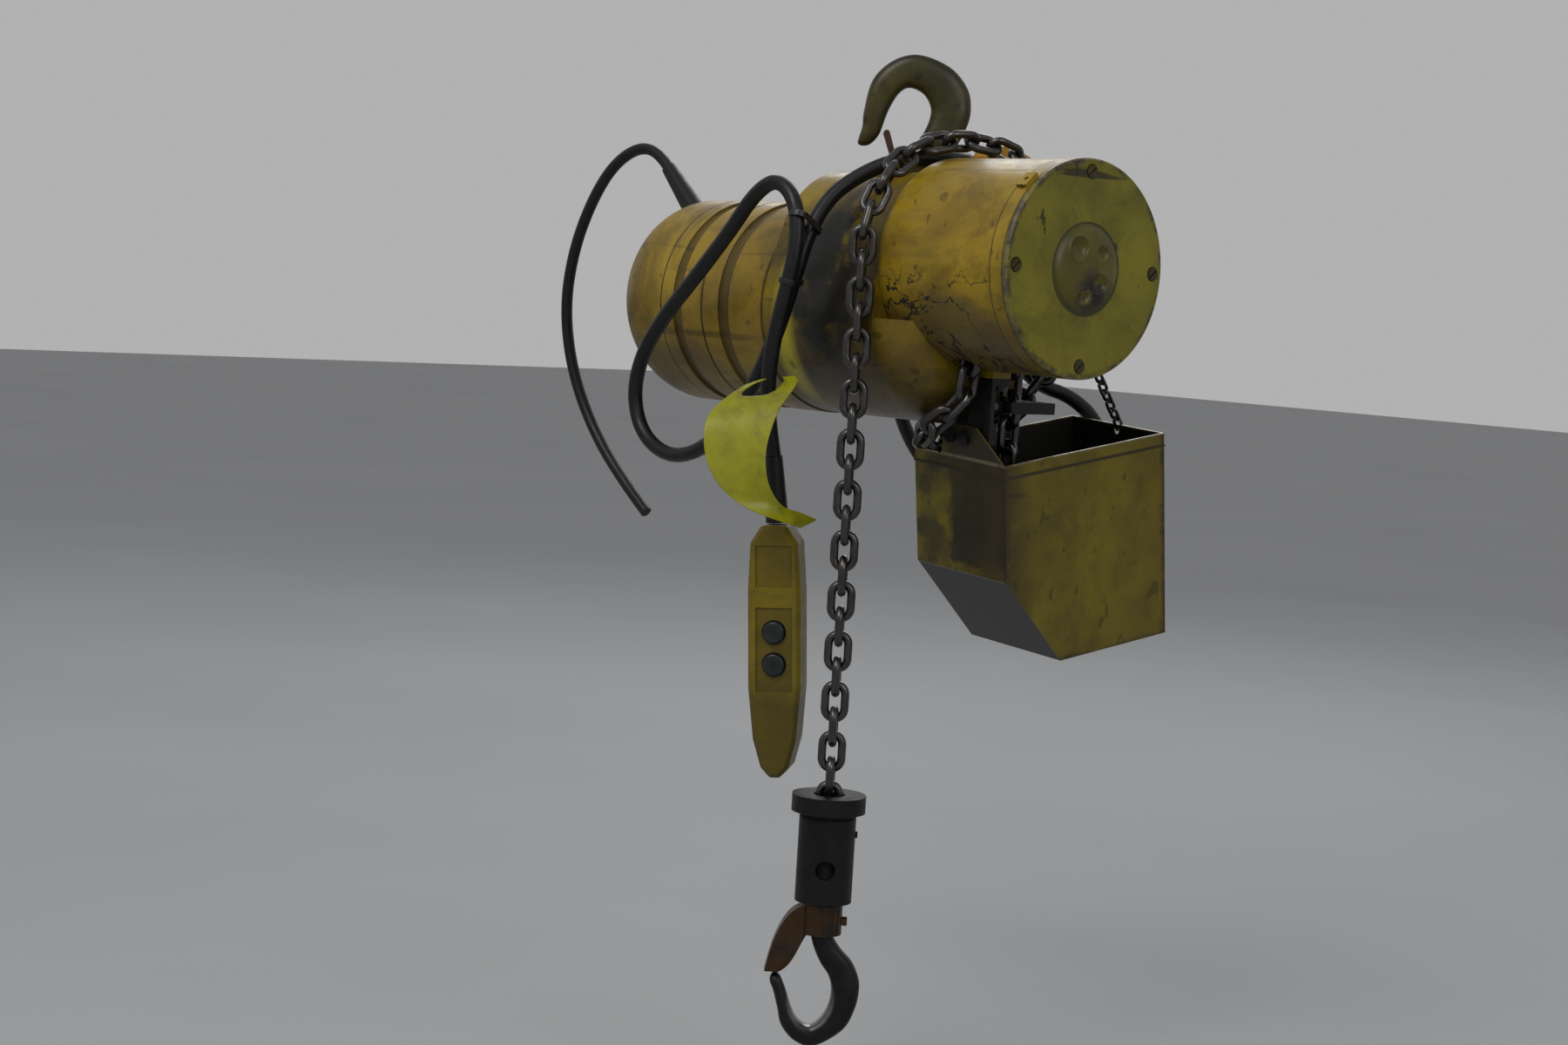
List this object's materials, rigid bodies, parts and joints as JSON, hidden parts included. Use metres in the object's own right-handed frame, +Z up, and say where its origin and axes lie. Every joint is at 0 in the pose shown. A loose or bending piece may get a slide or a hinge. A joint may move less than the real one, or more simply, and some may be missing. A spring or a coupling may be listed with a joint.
{
  "type": "chain hoist",
  "caption": "Electric chain hoist with two offset cylindrical casings, top hook, hanging load hook, chain container and push-button handset.",
  "frame": {"origin": "on the saddle of the top hook, where the load of the whole hoist hangs", "axes": "+Z up; +X along the casings towards the gear end cover; -Y towards the side where the load chain hangs"},
  "size_m": [0.6301, 0.396, 0.7618],
  "materials": {
    "body_paint": "worn, oily yellow enamel",
    "cover_paint": "worn greenish-yellow enamel, bare at the rim",
    "box_paint": "dirty yellow enamel on sheet steel",
    "hook_paint": "olive-yellow enamel, dark where the load rubs",
    "chain_steel": "black oiled, bright on the crowns",
    "block_steel": "dark phosphated steel",
    "bare_steel": "machined",
    "black_steel": "black, oily",
    "bronze": "tarnished bronze",
    "copper": "varnished windings",
    "cord_rubber": "matte with dust",
    "handset_plastic": "moulded yellow",
    "button_plastic": "blue-grey",
    "tag_plastic": "thin yellow sheet",
    "insulation": "moulded black",
    "rust_steel": "rusty strip"
  },
  "bodies": {
    "hoist_body": {"centre_frame": "body_paint", "rear_cover": "body_paint", "motor_housing": "body_paint", "motor_end_dome": "body_paint", "gear_housing": "body_paint", "cover_ring": "body_paint", "end_cover": "cover_paint", "end_cover_cap": "cover_paint", "cover_screws": "bare_steel", "stator_core": "bare_steel", "stator_windings": "copper", "motor_bearings": "bare_steel", "motor_end_shield": "bare_steel", "brake_coil": "insulation", "gear_plates": "bare_steel", "shaft_bushes": "bronze", "control_gear": "insulation", "container_bracket": "black_steel", "lever_pin": "bare_steel", "chain_box": "box_paint", "case_screws": "bare_steel", "chain_on_sprocket": "chain_steel", "slack_chain": "chain_steel", "draped_chain": "chain_steel", "top_hook_bearing": "bare_steel", "power_strain_relief": "cord_rubber", "power_cord": "cord_rubber", "pendant_cord": "cord_rubber", "cord_sleeve": "cord_rubber", "zip_ties": "insulation", "warning_tag": "tag_plastic", "support_chain": "chain_steel", "pendant_gland": "black_steel", "handset_front": "handset_plastic", "handset_back": "handset_plastic", "handset_screws": "bare_steel"},
    "rotor": {"rotor_core": "bare_steel", "motor_shaft": "bare_steel", "cooling_fan": "insulation", "brake_disc": "insulation", "motor_pinion": "bare_steel"},
    "second_shaft": {"intermediate_gear": "bare_steel", "intermediate_shaft": "bare_steel"},
    "load_wheel": {"load_sprocket": "bare_steel", "output_gear": "bare_steel"},
    "suspension_hook": {"top_hook": "hook_paint", "top_hook_nut": "bare_steel", "latch_pin": "bare_steel"},
    "suspension_latch": {"hook_latch": "rust_steel"},
    "lever": {"limit_lever": "black_steel"},
    "brake_plate": {"brake_armature": "bare_steel"},
    "load_chain": {"hanging_chain": "chain_steel"},
    "lower_block": {"block_collar": "block_steel", "chain_pin": "bare_steel", "block_body": "block_steel"},
    "load_hook": {"low_hook": "block_steel", "hook_nut": "bare_steel"},
    "gate": {"hook_gate": "bronze"},
    "up_button": {"button_up": "button_plastic"},
    "down_button": {"button_down": "button_plastic"}
  },
  "joints": [
    {"name": "motor_spin", "type": "hinge", "parent": "hoist_body", "child": "rotor", "pos_m": [-0.13, 0, -0.1745], "axis": [1, 0, 0], "continuous": true},
    {"name": "second_shaft_spin", "type": "hinge", "parent": "hoist_body", "child": "second_shaft", "pos_m": [0.14, 0.02678, -0.17797], "axis": [1, 0, 0], "continuous": true},
    {"name": "load_wheel_spin", "type": "hinge", "parent": "hoist_body", "child": "load_wheel", "pos_m": [0.112, 0, -0.1285], "axis": [1, 0, 0], "continuous": true, "deforming": ["chain_on_sprocket"]},
    {"name": "top_hook_swivel", "type": "hinge", "parent": "hoist_body", "child": "suspension_hook", "pos_m": [0, 0, -0.06], "axis": [0, 0, 1], "range_deg": [0, 90]},
    {"name": "top_latch_hinge", "type": "hinge", "parent": "suspension_hook", "child": "suspension_latch", "pos_m": [-0.00579, -0.00689, -0.0555], "axis": [-0.766, 0.6428, 0], "range_deg": [0, 35], "stiffness_Nm_per_rad": 0.05, "springref_deg": -17.19},
    {"name": "limit_lever_tilt", "type": "hinge", "parent": "hoist_body", "child": "lever", "pos_m": [0.109, 0.003, -0.2405], "axis": [1, 0, 0], "range_deg": [-3, 5], "stiffness_Nm_per_rad": 2},
    {"name": "chain_swing", "type": "hinge", "parent": "hoist_body", "child": "load_chain", "pos_m": [0.062, -0.0926, -0.13525], "axis": [1, 0, 0], "range_deg": [-17, 0.5]},
    {"name": "block_swing", "type": "hinge", "parent": "load_chain", "child": "lower_block", "pos_m": [0.062, -0.0926, -0.5525], "axis": [-0.7071, 0.7071, 0], "range_deg": [-2.5, 2.5]},
    {"name": "brake_release", "type": "slide", "parent": "hoist_body", "child": "brake_plate", "axis": [1, 0, 0], "range_m": [0, 0.0012], "stiffness_N_per_m": 3000, "springref_m": -0.003},
    {"name": "hook_swivel", "type": "hinge", "parent": "lower_block", "child": "load_hook", "pos_m": [0.062, -0.0926, -0.6], "axis": [0, 0, 1], "continuous": true},
    {"name": "gate_turn", "type": "hinge", "parent": "load_hook", "child": "gate", "pos_m": [0.062, -0.0926, -0.635], "axis": [0, 0, 1], "range_deg": [0, 100]},
    {"name": "up_button_press", "type": "slide", "parent": "hoist_body", "child": "up_button", "axis": [-0.6428, 0.766, 0], "range_m": [0, 0.0025], "stiffness_N_per_m": 400},
    {"name": "down_button_press", "type": "slide", "parent": "hoist_body", "child": "down_button", "axis": [-0.6428, 0.766, 0], "range_m": [0, 0.0025], "stiffness_N_per_m": 400}
  ],
  "couplings": [
    {"joint": "second_shaft_spin", "follows": "motor_spin", "ratio": -0.28571},
    {"joint": "load_wheel_spin", "follows": "motor_spin", "ratio": 0.043956}
  ]
}
